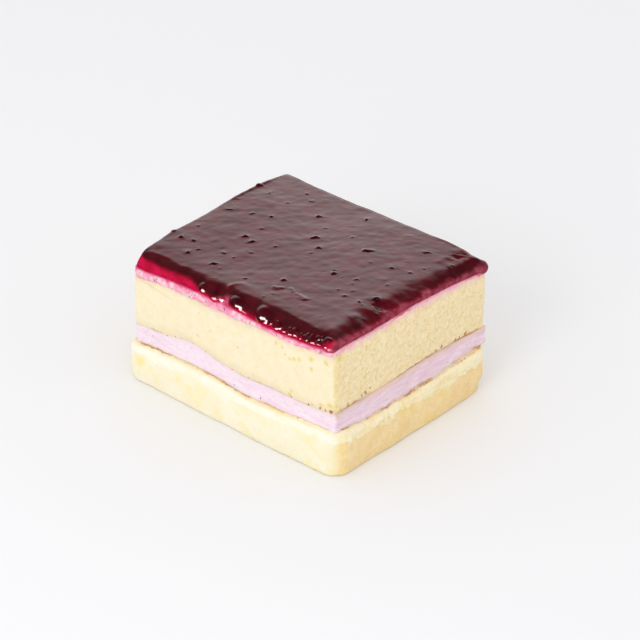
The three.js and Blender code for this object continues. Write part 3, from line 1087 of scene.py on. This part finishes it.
def berry_jelly(material):
    jelly = Jelly()
    free = ramp(0.05, 0.6, jelly.thickness())
    normals = jelly.normals()
    bits = bits_relief(jelly.points, normals[:, 2])
    relief = (jelly_relief(jelly.points) + bits) * free
    drip = edge_drip(jelly.points)
    jelly.points = jelly.points + normals * relief[:, None]
    for right, front, level, radius, length in DROPS:
        jelly.swell(np.array([CORNER_X - right, CORNER_Y + front, level]), radius, length)
    add_small_drops(jelly)
    outward = unit(normals * (1, 1, 0) + TINY)
    jelly.points += outward * (LIP_PROUD * jelly.lip_drop)[:, None]
    jelly.points[:, 2] -= drip * jelly.lip_drop**2

    masks = jelly_masks(jelly.points, normals, jelly.thickness(), bits)
    piece = make_piece("jelly_glaze", jelly.points, jelly.faces, material, masks)
    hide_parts("berry_jelly")


# Crumbs and specks


# Least and greatest length, width and height of a lump against its radius, and how lumpy it is
LUMP_SIZES = ((0.8, 0.6, 0.6), (1.3, 1.1, 1.0))
LUMPINESS = 0.3
LUMPINESS_SIZE = 0.8


class Crumbs:
    """Many small uneven lumps, kept as one mesh."""

    def __init__(self, seed):
        self.draw = np.random.default_rng(seed)
        ball = bmesh.new()
        bmesh.ops.create_icosphere(ball, subdivisions=2, radius=1)
        self.ball = np.array([vertex.co for vertex in ball.verts])
        self.ball_faces = np.array([[vertex.index for vertex in face.verts] for face in ball.faces])
        ball.free()
        self.points = []
        self.faces = []

    def add(self, place, normal, radius, flat=0.7, sunk=0.6):
        """Sets a lump on a face, flattened and sunk by shares of its radius."""
        scale = radius * self.draw.uniform(*LUMP_SIZES)
        scale[2] *= flat
        shift = self.draw.uniform(-50, 50, 3)
        lumpy = 1 + LUMPINESS * noise(self.ball + shift, LUMPINESS_SIZE, 91)
        turn = self.draw.uniform(0, 2 * math.pi)
        side = unit(np.cross(normal, (math.cos(turn), math.sin(turn), 0.37)))
        axes = np.stack([side, np.cross(normal, side), normal])
        lump = (self.ball * lumpy[:, None] * scale) @ axes + place + normal * radius * (flat - sunk)
        self.faces.append(self.ball_faces + len(self.ball) * len(self.points))
        self.points.append(lump)

    def add_near(self, wall, places, flat, sunk=0.6):
        """Sets a lump on the wall's point nearest to each place."""
        points = wall.points.reshape(-1, 3)
        normals = wall.normals.reshape(-1, 3)
        tree = find_tree(points)
        for place, radius in places:
            _, index, _ = tree.find(place)
            self.add(points[index], normals[index], radius, flat, sunk)

    def scatter(self, wall, columns, rows, radii, flat=0.7):
        for column, row, radius in zip(columns, rows, radii):
            self.add(wall.points[column, row], wall.normals[column, row], radius, flat)

    def add_piece(self, name, material, slot):
        faces = np.concatenate(self.faces).tolist()
        piece = make_piece(name, np.concatenate(self.points), faces, material, {})


# Larger bits of crust along the foot of the upper sponge: place and radius
CRUST_BITS = front_spots(
    (11.1, 21.4, 0.5), (6.0, 22.4, 0.55), (4.0, 22.6, 0.6), (1.8, 22.8, 0.7), (18.8, 21.3, 0.4),
) + right_spots(
    (64.5, 23.0, 0.9), (61.8, 22.9, 0.5), (59.9, 23.0, 0.5), (52.8, 23.2, 0.6), (50.0, 23.0, 0.4),
    (17.5, 24.2, 0.5), (15.6, 23.0, 0.55), (14.0, 22.8, 0.4), (7.0, 23.0, 0.4),
)

# Specks of berry in the cream and in the film: place and radius
CREAM_SPECKS = front_spots(
    (84.3, 18.4, 0.35), (80.6, 18.0, 0.4), (87.6, 14.6, 0.5), (43.4, 15.3, 0.4), (31.9, 15.0, 0.3),
    (29.2, 17.0, 0.25), (21.0, 18.3, 0.25), (63.0, 20.4, 0.3),
)
FILM_SPECKS = front_spots(
    (70.9, 41.2, 0.6), (70.0, 41.0, 0.4), (62.3, 42.0, 0.5), (61.4, 41.6, 0.35), (85.1, 40.6, 0.4),
    (78.2, 41.0, 0.45), (77.2, 40.6, 0.35), (46.7, 42.2, 0.4), (18.6, 41.9, 0.3),
)
SPECK_FLATNESS = 0.35

# Radii of the scattered crumbs of crust and specks of berry, and of the loose crumbs of sponge
FINE_RADII = (0.1, 0.26)
CRUMB_RADII = (0.15, 0.4)

# Rows at the foot and the top of a sponge that stay free of loose crumbs
CLEAR_ROWS = 3


def crust_crumbs(sponge, base, material):
    crumbs = Crumbs(61)
    crumbs.add_near(sponge, CRUST_BITS, flat=0.5, sunk=0.7)
    for wall, rows, count in ((sponge, (1, 4), 70), (base, (-3, -1), 60)):
        columns = crumbs.draw.integers(0, len(wall.points), count)
        levels = crumbs.draw.integers(*rows, count)
        crumbs.scatter(wall, columns, levels, crumbs.draw.uniform(*FINE_RADII, count))
    crumbs.add_piece("crust_crumbs", material, "upper_sponge")


def sponge_crumbs(sponge, base, material):
    crumbs = Crumbs(62)
    for wall, count in ((sponge, 160), (base, 160)):
        weight = 1 - 0.8 * wall.facing(FRONT)
        chosen = crumbs.draw.choice(weight.size, count, p=weight.ravel() / weight.sum())
        columns, rows = np.unravel_index(chosen, weight.shape)
        radii = crumbs.draw.uniform(*CRUMB_RADII, count)
        kept = within(rows, (CLEAR_ROWS, weight.shape[1] - CLEAR_ROWS))
        crumbs.scatter(wall, columns[kept], rows[kept], radii[kept])
    crumbs.add_piece("sponge_crumbs", material, "upper_sponge")


def berry_specks(cream, film, material):
    crumbs = Crumbs(63)
    for wall, named, count in ((cream, CREAM_SPECKS, 36), (film, FILM_SPECKS, 30)):
        crumbs.add_near(wall, named, SPECK_FLATNESS)
        columns = crumbs.draw.integers(0, len(wall.points), count)
        rows = crumbs.draw.integers(1, wall.points.shape[1] - 1, count)
        radii = crumbs.draw.uniform(*FINE_RADII, count)
        crumbs.scatter(wall, columns, rows, radii, SPECK_FLATNESS)
    crumbs.add_piece("berry_specks", material, "berry_jelly")


# Studio: floor, light and camera


CAMERA_AZIMUTH = math.radians(42.17)
CAMERA_ELEVATION = math.radians(31.0)
CAMERA_TARGET = Vector((5.02, 0.85, 24.8)) * MM
CAMERA_DISTANCE = 917.25 * MM
CAMERA_LENS = 157.5
CAMERA_NEAREST = 10 * MM

# Key light, in metres and watts
KEY_DIRECTION = (0.18, -0.85, 0.5)
KEY_DISTANCE = 1.0
KEY_SIZE = 0.5
KEY_WATTS = 2.4

# Side of the floor in metres
FLOOR_SIZE = 8.0

# Strength of the even light, and of what gloss mirrors: the wall behind, the room in front, the ceiling
SKY_SOFT = 0.97
SKY_BEHIND = 1.97
SKY_FRONT = 0.15
SKY_OVERHEAD = 0.02

# How far a mirrored direction points backward where the wall starts and is full
WALL_REACH = (0.45, 0.82)

# Heights between which the mirrored wall grows dim, and the ceiling above and ground below dark
WALL_FADE = (0.42, 0.7)
WALL_UPPER = 0.88
CEILING_FADE = (0.6, 0.95)
GROUND_FADE = (-0.1, 0.1)

# Low panel in front of the slice, mirrored by the drops: its brightness, half its width, its heights
# and how far a direction points forward where it starts and is full
PANEL_DIRECTION = (0.09, -0.996, 0)
PANEL_SIDE = (0.996, 0.09, 0)
PANEL_BRIGHTNESS = 55.0
PANEL_HALF_WIDTH = 0.42
PANEL_HEIGHTS = (-0.44, -0.04)
PANEL_REACH = (0.2, 0.4)
PANEL_SOFT_EDGE = 0.04


def make_floor():
    paint = Paint("pale_floor")
    paint.set("Base Color", paint.mix(paint.grain(400.0), srgb(237, 237, 239), srgb(239, 239, 241)))
    paint.set("Roughness", 0.7)
    paint.set("Specular IOR Level", 0.1)
    mesh = bpy.data.meshes.new("floor")
    half = FLOOR_SIZE / 2
    corners = [(-half, -half, 0), (half, -half, 0), (half, half, 0), (-half, half, 0)]
    mesh.from_pydata(corners, [], [(0, 1, 2, 3)])
    mesh.materials.append(paint.material)
    floor = add_object("floor", mesh)
    floor.visible_glossy = False


def make_key_light():
    light = bpy.data.lights.new("key", "AREA")
    light.size = KEY_SIZE
    light.energy = KEY_WATTS
    lamp = add_object("key", light)
    lamp.location = CAMERA_TARGET + Vector(KEY_DIRECTION).normalized() * KEY_DISTANCE
    lamp.rotation_euler = Vector(KEY_DIRECTION).to_track_quat("Z", "Y").to_euler()
    lamp.visible_glossy = False


def between(sky, value, low, high):
    """One between the limits, with soft edges, and nought outside them."""
    rise = sky.ramp(value, low - PANEL_SOFT_EDGE, low)
    fall = sky.ramp(value, high, high + PANEL_SOFT_EDGE, 1.0, 0.0)
    return sky.times(rise, fall)


def make_sky():
    """Even white light. Gloss mirrors a bright wall behind the slice and a low panel before it."""
    world = bpy.data.worlds.new("studio")
    world.use_nodes = True
    bpy.context.scene.world = world
    sky = Nodes(world.node_tree)
    toward = sky.nodes.new("ShaderNodeTexCoord").outputs["Generated"]
    parts = sky.nodes.new("ShaderNodeSeparateXYZ")
    sky.links.new(toward, parts.inputs["Vector"])
    height = parts.outputs["Z"]
    behind = sky.along(toward, (-math.sin(CAMERA_AZIMUTH), math.cos(CAMERA_AZIMUTH), 0))
    wall = sky.ramp(behind, *WALL_REACH, SKY_FRONT, SKY_BEHIND)
    wall = sky.times(wall, sky.ramp(height, *WALL_FADE, 1.0, WALL_UPPER))
    wall = sky.times(wall, sky.ramp(height, *CEILING_FADE, 1.0, SKY_OVERHEAD))
    wall = sky.times(wall, sky.ramp(height, *GROUND_FADE, SKY_OVERHEAD, 1.0))

    light_path = sky.nodes.new("ShaderNodeLightPath").outputs
    panel = between(sky, sky.along(toward, PANEL_SIDE), -PANEL_HALF_WIDTH, PANEL_HALF_WIDTH)
    panel = sky.times(panel, between(sky, height, *PANEL_HEIGHTS))
    panel = sky.times(panel, sky.ramp(sky.along(toward, PANEL_DIRECTION), *PANEL_REACH))
    panel = sky.times(panel, sky.ramp(light_path["Diffuse Depth"], 0, 1, PANEL_BRIGHTNESS, 0))

    mirrored = sky.math("MAXIMUM", wall, panel)
    background = sky.nodes["Background"]
    background.inputs["Color"].default_value = (1, 1, 1, 1)
    strength = sky.ramp(light_path["Is Glossy Ray"], 0, 1, SKY_SOFT, mirrored)
    sky.feed(background.inputs["Strength"], strength)


def make_camera():
    level = math.cos(CAMERA_ELEVATION)
    view = Vector((
        -math.sin(CAMERA_AZIMUTH) * level,
        math.cos(CAMERA_AZIMUTH) * level,
        -math.sin(CAMERA_ELEVATION),
    ))
    camera = bpy.data.cameras.new("camera")
    camera.lens = CAMERA_LENS
    camera.clip_start = CAMERA_NEAREST
    holder = add_object("camera", camera)
    holder.location = CAMERA_TARGET - view * CAMERA_DISTANCE
    holder.rotation_euler = view.to_track_quat("-Z", "Y").to_euler()
    bpy.context.scene.camera = holder


def make_cake():
    upper = upper_sponge(sponge_paint("sponge_crumb", **UPPER_COLOURS))
    base = base_sponge(sponge_paint("base_crumb", **BASE_COLOURS))
    cream = cream_filling(cream_paint())
    film = cream_film(film_paint())
    berry_jelly(jelly_paint())
    crust_crumbs(upper, base, crumb_paint("crust_crumb", srgb(212, 158, 84), srgb(158, 98, 46)))
    sponge_crumbs(upper, base, crumb_paint("loose_crumb", srgb(248, 232, 186), srgb(240, 214, 150)))
    berry_specks(cream, film, crumb_paint("berry_speck", srgb(150, 96, 150), srgb(92, 48, 96)))


make_camera()
make_sky()
make_floor()
make_key_light()
make_cake()
bpy.context.scene.view_settings.view_transform = "Standard"
